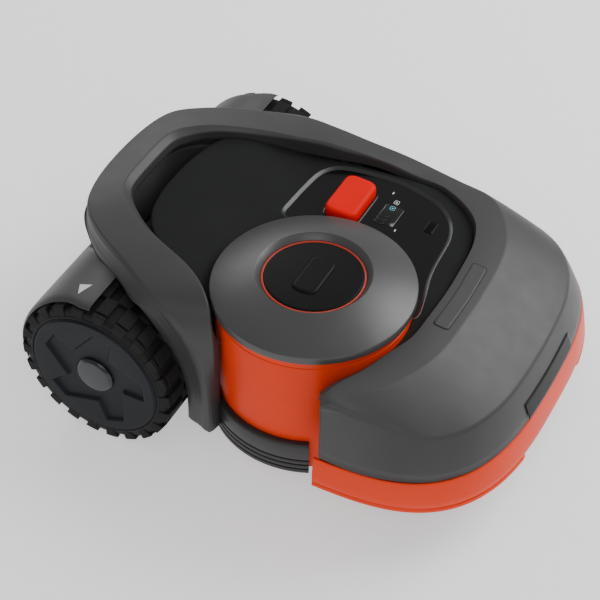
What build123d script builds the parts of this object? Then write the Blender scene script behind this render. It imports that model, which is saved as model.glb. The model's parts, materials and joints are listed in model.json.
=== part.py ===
# Robotic lawn mower.  Millimetres, +X forward, +Y left, +Z up, ground at z = 0, origin below the middle.
import math
import os

from build123d import *

os.makedirs("parts", exist_ok=True)

# driving dimensions
GAP = 0.3
WALL = 3.0
AXLE_X = -209.5
TYRE_R = 111.7
TYRE_IN, TYRE_OUT = 177.0, 252.0
HUB_Y = 255.5
RIM_R = 91.9
ARCH_R = 116.0
FENDER_R = 117.5
NOSE_X = 102.0
DISC_X, DISC_Y = 21.4, -87.1
KNOB_R = 130.8
KNOB_Z = 237.7
TOWER_R = 125.5
GUARD_R = 135.0
TOWER_Z = 34.0
DECK_Z = 150.0
COVER_Z = 206.0
LID_Z = 211.0
CUT_Z = 36.6
SLOPE = 0.07
TILT = math.degrees(math.atan(SLOPE))
STOP_X, STOP_Y = -18.0, 97.0
CASTER_X, CASTER_Y = 215.0, 150.0
CASTER_R = 38.0
CASTER_TRAIL = 22.0

# (z, half length ahead of NOSE_X, half width, roundness) of the nose at its levels
BAND_LOW = (70, 225, 256, 3.1)
SEAM = (120, 215, 251, 3.0)
CREASE = (170, 196, 229, 3.0)
LID = (LID_Z, 105, 211, 2.4)


def box(x0, x1, y0, y1, z0, z1):
    return Pos((x0 + x1) / 2, (y0 + y1) / 2, (z0 + z1) / 2) * Box(x1 - x0, y1 - y0, z1 - z0)


def zcyl(r, z0, z1, x=DISC_X, y=DISC_Y):
    return Pos(x, y, (z0 + z1) / 2) * Cylinder(r, z1 - z0)


def ycyl(r, y0, y1, x=AXLE_X, z=TYRE_R):
    return Pos(x, (y0 + y1) / 2, z) * Rot(90, 0, 0) * Cylinder(r, y1 - y0)


def xcyl(r, x0, x1, y, z):
    return Pos((x0 + x1) / 2, y, z) * Rot(0, 90, 0) * Cylinder(r, x1 - x0)


def nose_points(a, b, n):
    pts = []
    for k in range(19):
        t = math.radians(-90 + 10 * k)
        x = NOSE_X + a * abs(math.cos(t)) ** (2 / n)
        y = math.copysign(b * abs(math.sin(t)) ** (2 / n), t)
        pts.append((x, y))
    return pts


def nose_wire(a, b, n, z, back):
    """Closed outline at height z: a rounded nose ahead of NOSE_X, straight sides back to x = back."""
    pts = [(x, y, z) for x, y in nose_points(a, b, n)]
    front = Spline(*pts, tangents=[(1, 0, 0), (-1, 0, 0)])
    rear = Polyline(pts[-1], (back, b, z), (back, -b, z), pts[0])
    return Wire([*front.edges(), *rear.edges()])


def nose_loft(low, high, back, inset=0.0, drop=0.0):
    wires = []
    for z, a, b, n in (low, high):
        wires.append(nose_wire(a - inset, b - inset, n, z - drop, back))
    return Solid.make_loft(wires, ruled=True)


def nose_prism(a, b, n, z0, z1, back):
    return extrude(Face(nose_wire(a, b, n, z0, back)), z1 - z0)


def smooth_u(pts):
    """Mirror half of a rear outline, from the middle out to the +Y side, into one curve."""
    half = [(x, -y) for x, y in reversed(pts)]
    return Spline(*half, *pts[1:])


def rounded(w, d, r, z0, z1, x, y):
    return Pos(x, y, z0) * extrude(RectangleRounded(w, d, r), z1 - z0)


def both(part):
    return [part, mirror(part, Plane.XZ)]


# rear half outlines of the carry loop, centre line to +Y
LOOP_OUT = [(-318, 0), (-316, 48), (-309, 92), (-290, 127), (-248, 154), (-196, 178), (-151, 199), (-95, 216)]
LOOP_IN = [(-276, 0), (-273, 62), (-262, 84), (-241, 101), (-203, 120), (-158, 135), (-95, 163)]
LOOP_WALL = [(-314, 0), (-312, 47), (-305, 90), (-287, 123), (-246, 150), (-194, 174), (-149, 195),
             (-95, 212)]


def u_shape(outer, inner, z0, z1):
    a, b = smooth_u(outer), smooth_u(inner)
    ends = [Line(a @ 1, b @ 1), Line(b @ 0, a @ 0)]
    face = Face(Wire([*a.edges(), *b.edges(), ends[0].edge(), ends[1].edge()]))
    return Pos(0, 0, z0) * extrude(face, z1 - z0, dir=(0, 0, 1))


def side_profile(depth):
    """Side view of the loop: its top line sinks towards the nose, and depth is measured down from it."""
    top = [(-325, 258), (-300, 266), (-255, 268), (-200, 263), (-150, 251), (-108, 238), (-50, 226),
           (10, 217), (66, LID_Z)]
    low = [(x, z - depth) for x, z in top]
    a = Spline(*top)
    b = Spline(*low)
    face = Face(Wire([a.edge(), b.edge(), Line(a @ 0, b @ 0).edge(), Line(a @ 1, b @ 1).edge()]))
    return extrude(Plane.XZ * face, 300, both=True)


def arches():
    return ycyl(ARCH_R, 168, 300) + ycyl(ARCH_R, -300, -168)


def make_upper_shell():
    back = -95
    outer = nose_loft(SEAM, CREASE, back) + nose_loft(CREASE, LID, back)
    inner = nose_loft((SEAM[0] - 1, *SEAM[1:]), CREASE, back - 20, WALL)
    inner += nose_loft(CREASE, LID, back - 20, WALL, WALL)
    hood = outer - inner
    hood += box(back, NOSE_X - 1.5, SEAM[2] - 3.5, SEAM[2], 66, SEAM[0])
    hood -= nose_prism(64, 186, 2.2, LID_Z - 15, LID_Z + 5, back - 20)
    hood -= box(-200, NOSE_X + 6, -300, 0, 50, 300)
    hood -= Pos(0, 0, LID_Z - 15) * extrude(make_face(Polyline(
        (139, -150), (110, -240), (80, -240), (80, -150), close=True)), 30)
    hood += outer & box(NOSE_X + 6, NOSE_X + 9, -260, -196, 120, LID_Z)
    hood -= box(280, 340, -70, 70, 122, 142)
    profile = side_profile(20)
    loop = u_shape(LOOP_OUT, LOOP_IN, 180, 290) & profile
    left_rail = extrude(make_face(Polyline(
        (-96, 164), (-96, 215.5), (62, 210.5), (62, 187), (-20, 178), close=True)), 300) & profile
    wall = u_shape(LOOP_OUT, LOOP_WALL, 120, 290) & side_profile(130)
    wall -= box(-330, -240, -108, 108, 100, 300)
    foot = ycyl(149, -221, -208) - ycyl(ARCH_R, -230, -200)
    foot &= box(-150, -40, -230, -200, 45, 300)
    shell = hood + loop + left_rail + wall + foot
    shell -= arches()
    shell -= box(-330, 400, -177, 177, 100, 160) - box(60, 400, -177, 177, 100, 160)
    shell -= zcyl(TOWER_R + 1.0, 0, 300)
    return shell - zcyl(KNOB_R + 2.0, 214, 300)


def cover_outline(inset=0.0):
    half = [(45, 184), (-40, 171), (-95, 158), (-158, 130), (-198, 112), (-220, 94), (-232, 60), (-236, 12)]
    left = [(x + (inset if x < -210 else 0), y - inset) for x, y in half]
    right = [(x, -y) for x, y in reversed(left)]
    return make_face(Polyline(*nose_points(62.5 - inset, 184.5 - inset, 2.2), *left, *right, close=True))


def under_cover(drop):
    """Everything below the cover's side view, lowered by drop."""
    top = [(200, COVER_Z - 90 * SLOPE), (-90, COVER_Z + 200 * SLOPE), (-115, 224), (-140, 234),
           (-165, 243), (-190, 248), (-226, 249), (-232, 247), (-235, 243), (-236, 238)]
    pts = [(x, z - drop) for x, z in top] + [(-240, DECK_Z - 20), (200, DECK_Z - 20)]
    return extrude(Plane.XZ * make_face(Polyline(*pts, close=True)), 300, both=True)


CONSOLE = [(-89, 30), (-86, 92), (-82, 130), (-66, 153), (-40, 162), (21, 171), (86, 158), (115, 131),
           (125, 102), (129, 30), (141, -14), (150, -60), (60, -60), (60, 20), (-60, 22)]


def console_face(grow=0.0):
    face = make_face(Polyline(*CONSOLE, close=True))
    face = fillet(face.vertices(), 9)
    return offset(face, grow) if grow else face


def tilted(part):
    """Lean a level piece back with the console, which rises towards the rear."""
    return Pos(110, 0, COVER_Z) * Rot(0, TILT, 0) * Pos(-110, 0, -COVER_Z) * part


def make_inner_cover():
    face = cover_outline()
    cover = Pos(0, 0, DECK_Z) * extrude(face, 120, dir=(0, 0, 1)) & under_cover(0)
    cover -= Pos(0, 0, DECK_Z - 5) * extrude(cover_outline(2.5), 120, dir=(0, 0, 1)) & under_cover(WALL)
    cover -= tilted(Pos(0, 0, DECK_Z + 20) * extrude(console_face(), 100, dir=(0, 0, 1)))
    floor = box(-296, -180, -108, 108, DECK_Z, DECK_Z + WALL)
    floor += box(-262, -180, -145, 145, DECK_Z, DECK_Z + WALL) & u_shape(
        LOOP_WALL, [(-180, 0), (-179, 1), (-95, 2)], DECK_Z, DECK_Z + 5)
    cover += floor
    cover -= zcyl(TOWER_R + 0.8, 0, 300)
    return cover.solids().sort_by(SortBy.VOLUME)[-1]


def make_console_panel():
    panel = Pos(0, 0, COVER_Z - 6) * extrude(console_face(2.0), 3, dir=(0, 0, 1))
    panel -= rounded(47, 81, 9, 190, 210, STOP_X, STOP_Y)
    panel = tilted(panel) - zcyl(TOWER_R + 0.8, 0, 300)
    return panel.solids().sort_by(SortBy.VOLUME)[-1]


def make_cutter_tower():
    body = zcyl(TOWER_R, TOWER_Z, 222) - zcyl(TOWER_R - WALL, TOWER_Z - 1, 218)
    body += zcyl(22, 196, 218)
    return body - zcyl(12.05, 190, 230)


def make_ribbed_guard():
    """Curved wear strip round the right side of the tower, with three grooves in its lower half."""
    pts = [(TOWER_R + GAP, 31), (GUARD_R - 2, 31)]
    for z in (33, 41, 49):
        pts += [(GUARD_R, z), (GUARD_R, z + 5), (GUARD_R - 2.2, z + 5.6), (GUARD_R - 2.2, z + 7.4)]
    pts += [(GUARD_R, 57), (GUARD_R, 80), (GUARD_R - 3, 83), (TOWER_R + GAP, 83)]
    strip = revolve(Plane.XZ * make_face(Polyline(*pts, close=True)), Axis.Z, revolution_arc=75)
    strip = Rot(0, 0, -140) * strip
    return Pos(DISC_X, DISC_Y, 0) * strip


def rear_prism(inset, z0, z1):
    half = [(-298 + inset, 105), (-262, 163 - inset), (-60 - inset, 163 - inset)]
    pts = half + [(x, -y) for x, y in reversed(half)]
    return Pos(0, 0, z0) * extrude(make_face(Polyline(*pts, close=True)), z1 - z0)


def make_lower_chassis():
    rear = rear_prism(0, 45, DECK_Z)
    rear = fillet(rear.edges().group_by(Axis.Z)[0], 10)
    inside = rear_prism(4, 49, DECK_Z + 5)
    middle = box(-94, 60, -160, 240, 60, 118) - box(-90, 58, -156, 236, 64, 130)
    tub = (rear - inside) + (middle - rear_prism(2, 49.5, 140))
    tub += zcyl(TOWER_R + 4, 62, DECK_Z - 20) & box(-200, 200, -160, 200, 0, 200)
    tub -= zcyl(TOWER_R + GAP, 20, 300)
    tub -= arches()
    for y0, y1 in ((150, 175), (-175, -150)):
        tub -= ycyl(8, y0, y1)
    tub -= box(-240, -120, -45, 45, 40, 50)
    return tub.solids().sort_by(SortBy.VOLUME)[-1]


def make_front_tray():
    tray = nose_prism(201, 242, 3.0, 88, 118, 40) - nose_prism(198, 239, 3.0, 91, 130, 30)
    tray -= box(0, NOSE_X + 8, -300, -160, 60, 140)
    for y in (-CASTER_Y, CASTER_Y):
        tray += zcyl(15, 88, 132, CASTER_X, y)
    for y in (-100, 100):
        tray += xcyl(9, 268, 300, y, 103)
    tray -= zcyl(TOWER_R + 4 + GAP, 20, 300)
    tray -= box(0, 60 + GAP, -300, 300, 60, 140)
    for y in (-CASTER_Y, CASTER_Y):
        tray -= zcyl(11, 80, 140, CASTER_X, y)
    for y in (-100, 100):
        tray -= xcyl(5.05, 250, 330, y, 103)
    return tray.solids().sort_by(SortBy.VOLUME)[-1]


def make_fender(side):
    shell = ycyl(FENDER_R, 112, 246) - ycyl(FENDER_R - 2.8, 100, 250)
    shell &= box(-400, AXLE_X + 1, 100, 250, 85, 300)
    plan = u_shape(LOOP_OUT, [(-200, 0), (-199, 1), (-95, 2)], 0, 300)
    plan = Pos(-0.6, 0.6, 0) * plan
    shell -= plan
    shell -= box(-300, 0, 100, 165, 60, 300) & plan
    shell = shell.solids().sort_by(SortBy.VOLUME)[-1]
    return shell if side > 0 else mirror(shell, Plane.XZ)


def make_bumper_band():
    band = nose_loft(BAND_LOW, SEAM, 90)
    band -= nose_loft((BAND_LOW[0] - 1, *BAND_LOW[1:]), (SEAM[0] + 1, *SEAM[1:]), 60, WALL)
    band &= box(NOSE_X + 3, 400, -300, 300, 66, SEAM[0] - 0.8)
    band -= box(290, 400, -90, 90, 60, 76)
    rib = nose_loft((77, 225.6, 256, 3.1), (79, 225.4, 256, 3.1), 90)
    rib &= box(NOSE_X + 3, 400, -300, 300, 60, 130)
    band += rib - nose_loft((70, 222.5, 253.5, 3.1), (90, 220, 252, 3.1), 60)
    for y in (-100, 100):
        band += xcyl(5, 272, 319, y, 103)
    return band


def lug(a, y0, y1):
    corners = [(TYRE_R - 9, y0), (TYRE_R, y0), (TYRE_R, y1), (TYRE_R - 9, y1)]
    piece = revolve(make_face(Polyline(*corners, close=True)), Axis.Y, revolution_arc=8.5)
    return Rot(0, a, 0) * piece


def make_tyre():
    pts = [(RIM_R + 0.1, 180), (97, TYRE_IN), (102, TYRE_IN + 1.5), (104.5, 186),
           (104.5, 243), (102, 250.5), (97, TYRE_OUT), (RIM_R + 0.1, 249)]
    carcass = revolve(make_face(Polyline(*pts, close=True)), Axis.Y)
    lugs = []
    for k in range(22):
        a = k * 360 / 22
        lugs.append(lug(a + 94.25, 182, 214))
        lugs.append(lug(a + 94.25 + 180 / 22, 216, 248))
    tyre = carcass + lugs
    return Pos(AXLE_X, 0, TYRE_R) * tyre


def make_rim():
    pts = [(6.05, 205), (24, 205), (24, 242), (88.5, 242), (88.5, 179), (RIM_R, 179),
           (RIM_R, HUB_Y - 2.5), (89, HUB_Y), (86, HUB_Y), (84, 249), (80, 246), (26.2, 246),
           (26.2, 248), (6.05, 248)]
    rim = revolve(make_face(Polyline(*pts, close=True)), Axis.Y)
    for k in range(5):
        arm = extrude(Plane.XZ.offset(-245) * make_face(Polyline(
            (24, -13), (84, -21), (84, 21), (24, 13), close=True)), -6)
        rim += Rot(0, 72 * k + 90, 0) * arm
    rim -= ycyl(26.2, 248, 260, 0, 0)
    return Pos(AXLE_X, 0, TYRE_R) * rim


def make_hub_cap():
    cap = ycyl(26, 248, 252.5) - ycyl(7, 247, 250.6)
    return cap + ycyl(22, 252.5, 254)


def make_axle():
    return ycyl(6, 112, 246) + ycyl(10, 203, 205)


def make_motor():
    return ycyl(32, 100, 158.9, AXLE_X, TYRE_R) + ycyl(20, 92, 100) - ycyl(6.05, 90, 160)


def make_fork():
    stem = zcyl(8, 86, 139, CASTER_X, CASTER_Y)
    x = CASTER_X - CASTER_TRAIL
    crown = rounded(52, 38, 8, 80, 87, CASTER_X - 12, CASTER_Y)
    fork = stem + crown
    for y in (-19, 15):
        leg = box(x - 9, x + 9, CASTER_Y + y, CASTER_Y + y + 4, CASTER_R, 84)
        fork += leg + ycyl(9, CASTER_Y + y, CASTER_Y + y + 4, x, CASTER_R)
    return fork - ycyl(4, 120, 180, x, CASTER_R)


def make_caster_wheel():
    x = CASTER_X - CASTER_TRAIL
    y = CASTER_Y
    wheel = ycyl(CASTER_R, y - 13, y + 13, x, CASTER_R)
    wheel = fillet(wheel.edges(), 5)
    wheel -= ycyl(22, y + 9, y + 20, x, CASTER_R) + ycyl(22, y - 20, y - 9, x, CASTER_R)
    wheel += ycyl(8, y - 13.5, y + 13.5, x, CASTER_R)
    return wheel - ycyl(4.06, y - 30, y + 30, x, CASTER_R)


def make_caster_pin():
    x = CASTER_X - CASTER_TRAIL
    pin = ycyl(3.99, CASTER_Y - 19, CASTER_Y + 19, x, CASTER_R)
    return pin + ycyl(6.5, CASTER_Y + 19, CASTER_Y + 21.5, x, CASTER_R)


def make_caster_bush():
    return zcyl(11, 90, 134, CASTER_X, CASTER_Y) + zcyl(14, 132, 134, CASTER_X, CASTER_Y) - zcyl(
        8.06, 80, 150, CASTER_X, CASTER_Y)


def make_knob_disc():
    pts = [(13, 225), (KNOB_R - 1.5, 225), (KNOB_R, 226.5), (KNOB_R, KNOB_Z - 1.5), (KNOB_R - 1.5, KNOB_Z),
           (74, 258), (67, 250.4), (66.5, 249.6), (66.5, 242), (13, 242)]
    return Pos(DISC_X, DISC_Y, 0) * revolve(Plane.XZ * make_face(Polyline(*pts, close=True)), Axis.Z)


def make_knob_cap():
    cap = zcyl(63, 242, 251)
    return fillet(cap.edges().group_by(Axis.Z)[-1], 1.5)


def make_lift_screw():
    screw = zcyl(8, 123, 200) + zcyl(12, 200, 242)
    thread = []
    for k in range(9):
        thread.append(zcyl(8.0, 126 + 8 * k, 128 + 8 * k) - zcyl(7.2, 125 + 8 * k, 129 + 8 * k))
    return screw - thread


def make_carriage():
    can = zcyl(100, 56, 112) - zcyl(97, 59, 111)
    top = zcyl(113, 112, 118) + zcyl(17, 118, 150)
    can += top
    for x in (-106, 106):
        can -= zcyl(4.08, 100, 130, DISC_X + x, DISC_Y)
    can -= zcyl(97, 59, 112)
    can -= zcyl(8.08, 100, 160)
    return can - zcyl(14, 50, 60)


def make_guide_pins():
    return [zcyl(4, 92, 218, DISC_X + x, DISC_Y) for x in (-106, 106)]


def make_blade_motor():
    return zcyl(42, 59, 92) - zcyl(4.06, 50, 88)


def make_blade_plate():
    plate = zcyl(92, CUT_Z + 1.6, CUT_Z + 4.6)
    for k in range(3):
        a = math.radians(90 + 120 * k)
        plate -= zcyl(2.5, 30, 50, DISC_X + 82 * math.cos(a), DISC_Y + 82 * math.sin(a))
        b = a + math.radians(60)
        plate -= zcyl(14, 30, 50, DISC_X + 58 * math.cos(b), DISC_Y + 58 * math.sin(b))
    return plate - zcyl(12, 30, 50)


def make_disc_hub():
    hub = zcyl(12, 33, 50) + zcyl(22, CUT_Z + 4.6, 50) + zcyl(18, 33, CUT_Z + 1.6) + zcyl(4, 50, 85)
    return hub - zcyl(5.06, 20, 45)


def make_blade(a):
    c = math.radians(a)
    blade = Pos(14, 0, 0) * extrude(RectangleRounded(40, 16, 3), 1)
    blade -= Cylinder(2.6, 5)
    return Pos(DISC_X + 82 * math.cos(c), DISC_Y + 82 * math.sin(c), CUT_Z - 0.2) * Rot(0, 0, a) * blade


def make_blade_screw(a):
    c = math.radians(a)
    x, y = DISC_X + 82 * math.cos(c), DISC_Y + 82 * math.sin(c)
    screw = zcyl(2.5, 36.3, CUT_Z + 4.6, x, y) + zcyl(5, 33.8, 36.3, x, y)
    return screw + zcyl(4.5, CUT_Z + 4.6, CUT_Z + 7, x, y)


def make_skid():
    plate = zcyl(66, 28, 31)
    plate = fillet(plate.edges().group_by(Axis.Z)[0], 2)
    return plate + zcyl(5, 31, 44) + zcyl(9, 31, 32.8)


def make_stop_cap():
    cap = rounded(46, 80, 9, 197, 220, STOP_X, STOP_Y)
    cap = fillet(cap.edges().group_by(Axis.Z)[-1], 4)
    return tilted(cap + zcyl(6, 180, 197, STOP_X, STOP_Y))


def make_stop_switch():
    body = rounded(40, 40, 4, 160, 176, STOP_X, STOP_Y) - zcyl(6.5, 168, 200, STOP_X, STOP_Y)
    return tilted(body)


def make_stop_spring():
    path = Helix(pitch=4, height=18, radius=9, center=(STOP_X, STOP_Y, 177.5))
    return tilted(sweep(Plane(path @ 0, z_dir=path % 0) * Circle(0.9), path))


def make_display():
    return tilted(rounded(26, 40, 3, COVER_Z - 3, COVER_Z - 2.4, 36, 104))


def make_rain_sensor():
    return tilted(rounded(12, 24, 2, COVER_Z - 3, COVER_Z - 1.8, 93, 112))


def make_sensor_window():
    strip = nose_loft(SEAM, CREASE, 60, 0.6) - nose_loft((SEAM[0] - 1, *SEAM[1:]), CREASE, 40, WALL)
    return strip & box(281, 340, -69.6, 69.6, 122.4, 141.6)


def make_accessory_cover():
    strip = nose_prism(98, 205, 2.4, LID_Z, LID_Z + 1.5, 60)
    strip -= nose_prism(70, 190, 2.2, LID_Z - 1, LID_Z + 3, 40)
    return strip & box(150, 210, -64, 64, 200, 220)


def make_battery():
    pack = box(-168, -70, 70, 140, 62, 118)
    return fillet(pack.edges().filter_by(Axis.Z), 8)


def make_battery_cover():
    return box(-239.7, -120.3, -44.7, 44.7, 45, 48.5)


def make_cover_screws():
    return [zcyl(4, 43, 45, x, y) for x in (-232, -128) for y in (-38, 38)]


def make_main_board():
    board = box(-190, -120, -60, 50, 128, 129.6)
    for x, y, w, d, h in ((-170, -30, 20, 20, 3), (-140, 20, 12, 26, 8), (-165, 20, 10, 10, 5)):
        board += box(x, x + w, y, y + d, 129, 129.6 + h)
    for x, y in ((-185, -55), (-125, -55), (-185, 45), (-125, 45)):
        board += zcyl(3, 49, 128.5, x, y)
    return board


def make_contacts():
    return [box(270, 296, y - 6, y + 6, 86, 88) for y in (-24, 24)]


def make_buffers():
    return [xcyl(9, 303.2, 311, y, 103) for y in (-40, 40)]


def make_antenna():
    return box(150, 190, -30, 30, 91, 99) + box(160, 180, -10, 10, 99, 104)


def make_speaker():
    return zcyl(22, 91, 104, 130, 150) + zcyl(12, 104, 110, 130, 150)


parts = {
    "lower_chassis": make_lower_chassis(),
    "front_tray": make_front_tray(),
    "upper_shell": make_upper_shell(),
    "inner_cover": make_inner_cover(),
    "console_panel": make_console_panel(),
    "display_window": make_display(),
    "rain_sensor": make_rain_sensor(),
    "sensor_window": make_sensor_window(),
    "accessory_cover": make_accessory_cover(),
    "cutter_tower": make_cutter_tower(),
    "ribbed_guard": make_ribbed_guard(),
    "left_fender": make_fender(1),
    "right_fender": make_fender(-1),
    "battery_pack": make_battery(),
    "battery_cover": make_battery_cover(),
    "cover_screws": make_cover_screws(),
    "main_board": make_main_board(),
    "charging_contacts": make_contacts(),
    "bumper_buffers": make_buffers(),
    "antenna_module": make_antenna(),
    "speaker": make_speaker(),
    "guide_pins": make_guide_pins(),
    "stop_switch": make_stop_switch(),
    "bumper_band": make_bumper_band(),
    "stop_cap": make_stop_cap(),
    "stop_spring": make_stop_spring(),
    "knob_disc": make_knob_disc(),
    "knob_cap": make_knob_cap(),
    "knob_ring": zcyl(66.4, 242, 250) - zcyl(63.1, 240, 260),
    "knob_badge": rounded(35, 69, 8, 251, 253.5, DISC_X, DISC_Y),
    "lift_screw": make_lift_screw(),
    "carriage": make_carriage(),
    "blade_motor": make_blade_motor(),
    "blade_plate": make_blade_plate(),
    "disc_hub": make_disc_hub(),
    "blade_screws": [make_blade_screw(90 + 120 * k) for k in range(3)],
    "skid_plate": make_skid(),
}
for k in range(3):
    parts["blade_%d" % (k + 1)] = make_blade(90 + 120 * k)

PAIRS = {
    "tyre": make_tyre(),
    "rim": make_rim(),
    "hub_cap": make_hub_cap(),
    "axle": make_axle(),
    "drive_motor": make_motor(),
    "caster_fork": make_fork(),
    "caster_wheel": make_caster_wheel(),
    "caster_pin": make_caster_pin(),
    "caster_bush": make_caster_bush(),
}
for name, part in PAIRS.items():
    left, right = both(part)
    parts["left_" + name] = left
    parts["right_" + name] = right

for name, part in parts.items():
    shape = Compound(children=list(part)) if isinstance(part, list) else part
    export_step(shape, "parts/%s.step" % name)
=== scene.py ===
import json
import math

import bmesh
import bpy
import numpy as np
from mathutils import Matrix, Vector


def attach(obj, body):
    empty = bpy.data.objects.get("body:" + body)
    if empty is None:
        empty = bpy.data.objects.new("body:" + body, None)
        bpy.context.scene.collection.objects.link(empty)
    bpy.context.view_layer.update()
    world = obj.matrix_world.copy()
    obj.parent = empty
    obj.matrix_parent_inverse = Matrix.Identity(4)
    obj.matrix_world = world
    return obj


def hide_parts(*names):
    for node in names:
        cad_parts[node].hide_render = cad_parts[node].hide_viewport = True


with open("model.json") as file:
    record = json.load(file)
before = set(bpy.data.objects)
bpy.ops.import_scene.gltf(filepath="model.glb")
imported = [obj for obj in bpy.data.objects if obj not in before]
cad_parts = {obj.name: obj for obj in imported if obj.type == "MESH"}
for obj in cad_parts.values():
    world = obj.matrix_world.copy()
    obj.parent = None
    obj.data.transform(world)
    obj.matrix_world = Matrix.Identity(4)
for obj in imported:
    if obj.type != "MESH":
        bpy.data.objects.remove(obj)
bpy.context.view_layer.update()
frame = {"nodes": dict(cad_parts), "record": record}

MM = 0.001
AXLE = Vector((-209.5, 0, 111.7))
TYRE_R = 111.7
DISC = Vector((21.4, -87.1, 0))
COVER_Z = 206.0
SLOPE = 0.07
TOWER_R = 125.5


# ---------------------------------------------------------------- mesh helpers
def make(name, verts, faces, sharp=40, closed=False, flip=False):
    mesh = bpy.data.meshes.new(name)
    mesh.from_pydata([Vector(v) * MM for v in verts], [], faces)
    mesh.validate()
    bm = bmesh.new()
    bm.from_mesh(mesh)
    bmesh.ops.remove_doubles(bm, verts=bm.verts, dist=1e-6)
    if closed:
        bmesh.ops.recalc_face_normals(bm, faces=bm.faces)
    if flip:
        bmesh.ops.reverse_faces(bm, faces=bm.faces)
    bm.to_mesh(mesh)
    bm.free()
    for face in mesh.polygons:
        face.use_smooth = True
    mesh.set_sharp_from_angle(angle=math.radians(sharp))
    obj = bpy.data.objects.new(name, mesh)
    bpy.context.scene.collection.objects.link(obj)
    return obj


def grid_faces(rows, cols, wrap_rows=False, wrap_cols=False):
    faces = []
    for i in range(rows if wrap_rows else rows - 1):
        for j in range(cols if wrap_cols else cols - 1):
            a, b = i * cols + j, i * cols + (j + 1) % cols
            c, d = ((i + 1) % rows) * cols + (j + 1) % cols, ((i + 1) % rows) * cols + j
            faces.append((a, b, c, d))
    return faces


def finish_piece(obj, body, slot, *nodes):
    obj.data.materials.clear()
    obj.data.materials.append(MATS[slot])
    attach(obj, body)
    if nodes:
        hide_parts(*nodes)
    return obj


def solidify(obj, thick, offset=-1):
    mod = obj.modifiers.new("thickness", "SOLIDIFY")
    mod.thickness = thick * MM
    mod.offset = offset
    return obj


def bevel(obj, width, segments=2, angle=35):
    mod = obj.modifiers.new("edges", "BEVEL")
    mod.width = width * MM
    mod.segments = segments
    mod.limit_method = "ANGLE"
    mod.angle_limit = math.radians(angle)
    mod.harden_normals = False
    return obj


def natural(u, p, q):
    """Natural cubic spline through the points p at the values u, read at the values q."""
    n = len(u)
    h = np.diff(u)
    a = np.zeros((n, n))
    rhs = np.zeros((n, p.shape[1]))
    a[0, 0] = a[-1, -1] = 1
    for i in range(1, n - 1):
        a[i, i - 1 : i + 2] = h[i - 1], 2 * (h[i - 1] + h[i]), h[i]
        rhs[i] = 6 * ((p[i + 1] - p[i]) / h[i] - (p[i] - p[i - 1]) / h[i - 1])
    m = np.linalg.solve(a, rhs)
    i = np.clip(np.searchsorted(u, q) - 1, 0, n - 2)
    t0 = (q - u[i])[:, None]
    t1 = (u[i + 1] - q)[:, None]
    k = h[i][:, None]
    return (m[i] * t1**3 + m[i + 1] * t0**3) / (6 * k) + (p[i] / k - m[i] * k / 6) * t1 + (
        p[i + 1] / k - m[i + 1] * k / 6
    ) * t0


def section(points, radii, bulges, normals, steps=5, arc=7):
    """One cross section: corners rounded by their radii, the spans between them bulged outwards."""
    n = len(points)
    heads, tails = [points[0]], [points[0]]
    for j in range(1, n - 1):
        back, ahead = points[j - 1] - points[j], points[j + 1] - points[j]
        lb, la = np.linalg.norm(back), np.linalg.norm(ahead)
        d = min(radii[j - 1], 0.45 * lb, 0.45 * la)
        heads.append(points[j] + back / lb * d)
        tails.append(points[j] + ahead / la * d)
    heads.append(points[-1])
    tails.append(points[-1])
    row = []
    for j in range(n - 1):
        for k in range(steps):
            t = k / steps
            lift = bulges[j] * 4 * t * (1 - t) * normals[j]
            row.append(tails[j] * (1 - t) + heads[j + 1] * t + lift)
        if j < n - 2:
            for k in range(arc):
                t = k / arc
                row.append(heads[j + 1] * (1 - t) ** 2 + points[j + 1] * 2 * t * (1 - t)
                           + tails[j + 1] * t * t)
    row.append(points[-1])
    return row


def eased(curves, width):
    """The same curves with their small wobbles evened out over a sliding window."""
    kernel = np.hanning(2 * width + 3)
    kernel /= kernel.sum()
    pad = len(kernel) // 2
    out = curves.copy()
    for rail in out:
        for axis in range(3):
            line = rail[:, axis]
            before = 2 * line[0] - line[pad:0:-1]
            after = 2 * line[-1] - line[-2 : -pad - 2 : -1]
            ends = np.concatenate([before, line, after])
            rail[:, axis] = np.convolve(ends, kernel, "valid")
    return out


def smooth(t):
    t = np.clip(t, 0, 1)
    return t * t * (3 - 2 * t)


def strip(name, rails, radii, bulges, count=420, sharp=50, flip=False, ease=0, soft_to=None):
    rails = [np.array(r, float) for r in rails]
    step = np.mean([np.linalg.norm(np.diff(r, axis=0), axis=1) for r in rails], axis=0)
    u = np.concatenate([[0], np.cumsum(step)])
    q = np.linspace(0, u[-1], count)
    curves = np.array([natural(u, r, q) for r in rails])
    width = max(1, int(ease / (u[-1] / count)))
    if ease:
        soft = eased(curves, width * 3)
        curves = eased(curves, width)
    if soft_to:
        share = smooth((soft_to[1] - q) / (soft_to[1] - soft_to[0]))[None, :, None]
        curves = curves * (1 - share) + soft * share
    along = np.gradient(curves, axis=1)
    verts = []
    for i in range(count):
        normals = []
        for j in range(len(rails) - 1):
            n = np.cross(along[j, i] + along[j + 1, i], curves[j + 1, i] - curves[j, i])
            normals.append(n / max(np.linalg.norm(n), 1e-9))
        row = section(curves[:, i], radii, bulges, normals)
        verts.extend(row)
    return make(name, verts, grid_faces(count, len(row)), sharp, flip=flip)


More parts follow.
